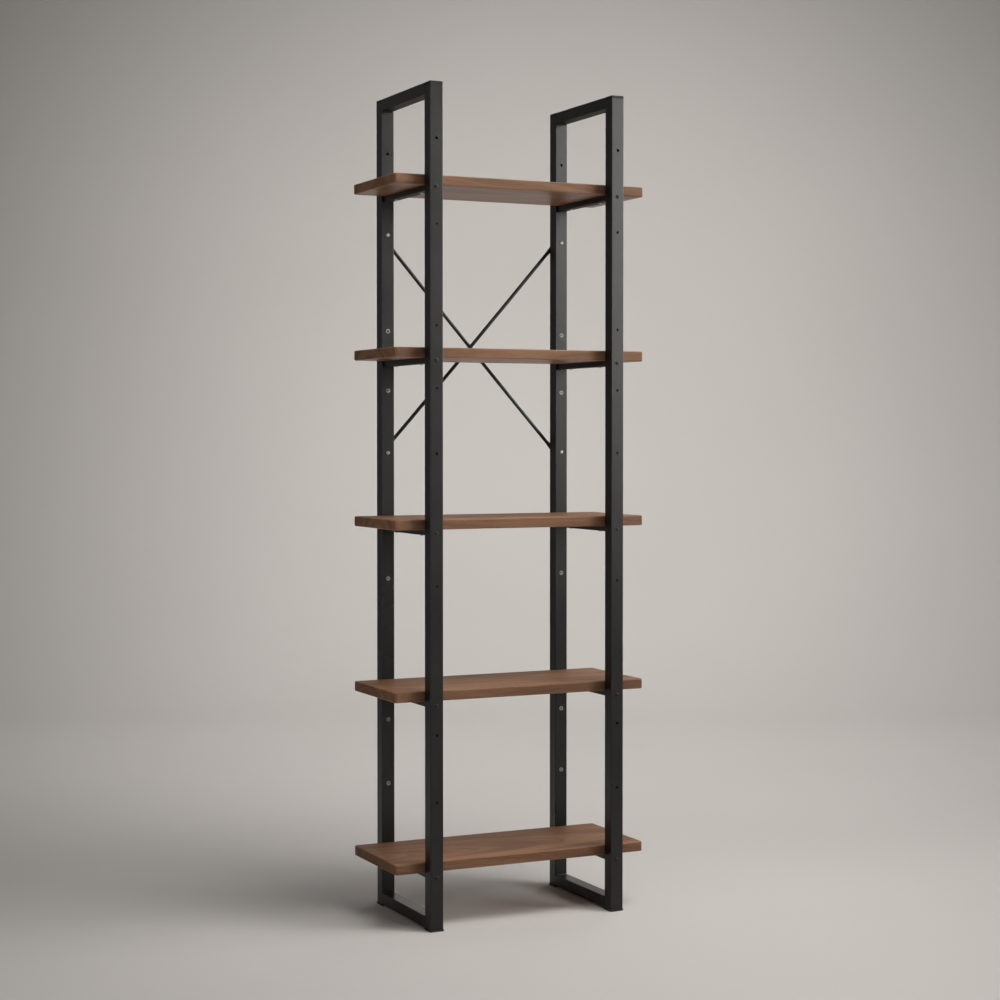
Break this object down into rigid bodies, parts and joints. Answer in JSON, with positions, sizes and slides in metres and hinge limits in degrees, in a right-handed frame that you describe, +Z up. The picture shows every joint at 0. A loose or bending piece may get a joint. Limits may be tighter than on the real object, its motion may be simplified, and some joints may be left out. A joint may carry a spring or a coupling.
{
  "type": "industrial bookcase",
  "caption": "Tall free-standing bookcase: wooden shelves bolted between black square-tube side frames, with crossed brace rods at the back.",
  "frame": {"origin": "on the floor, under the middle of the bookcase's overall box", "axes": "+X to the right along the shelves, +Y to the back, +Z up"},
  "size_m": [0.6, 0.315, 1.8],
  "materials": {
    "frame_black": "satin black powder coat with a fine texture",
    "walnut": "satin walnut brown, grain along the shelf",
    "plastic_black": "matt moulded plastic",
    "bolt_black": "black oxide",
    "zinc": "bright zinc plate"
  },
  "bodies": {
    "root": {"left_front_upright": "frame_black", "left_front_top_cap": "plastic_black", "left_front_foot_pad": "plastic_black", "left_rear_upright": "frame_black", "left_rear_top_cap": "plastic_black", "left_rear_foot_pad": "plastic_black", "left_top_rail": "frame_black", "left_bottom_rail": "frame_black", "left_support_1": "frame_black", "left_support_2": "frame_black", "left_support_3": "frame_black", "left_support_4": "frame_black", "left_support_5": "frame_black", "right_front_upright": "frame_black", "right_front_top_cap": "plastic_black", "right_front_foot_pad": "plastic_black", "right_rear_upright": "frame_black", "right_rear_top_cap": "plastic_black", "right_rear_foot_pad": "plastic_black", "right_top_rail": "frame_black", "right_bottom_rail": "frame_black", "right_support_1": "frame_black", "right_support_2": "frame_black", "right_support_3": "frame_black", "right_support_4": "frame_black", "right_support_5": "frame_black", "shelf_1": "walnut", "shelf_2": "walnut", "shelf_3": "walnut", "shelf_4": "walnut", "shelf_5": "walnut", "front_brace_rod": "frame_black", "back_brace_rod": "frame_black", "front_support_bolts": "bolt_black", "rear_support_bolts": "bolt_black", "brace_bolts": "zinc", "brace_nuts": "zinc", "shelf_screws": "zinc", "front_inserts": "zinc", "rear_inserts": "zinc"}
  },
  "joints": []
}
